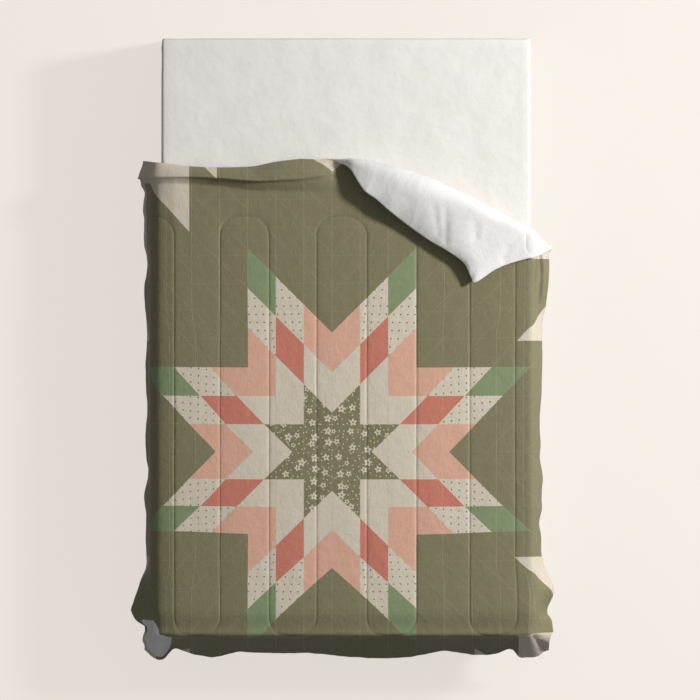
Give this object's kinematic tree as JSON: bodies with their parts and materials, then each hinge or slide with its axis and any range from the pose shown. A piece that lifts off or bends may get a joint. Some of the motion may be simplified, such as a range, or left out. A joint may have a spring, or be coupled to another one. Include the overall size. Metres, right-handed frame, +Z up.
{
  "type": "quilted comforter on a mattress",
  "caption": "Puffy stitched comforter with a pieced-star print, draped over a plain mattress with one head corner folded back.",
  "frame": {"origin": "middle of the mattress's flat underside, on the floor", "axes": "+Z up, +Y along the mattress towards its head, +X towards the side where the comforter's head corner is folded back"},
  "size_m": [1.5388, 2.2859, 0.4233],
  "materials": {
    "comforter_cloth": "matte woven cloth, printed face and white reverse",
    "mattress_cover": "matte white woven cover"
  },
  "bodies": {
    "root": {"comforter": "comforter_cloth", "mattress": "mattress_cover"}
  },
  "joints": []
}
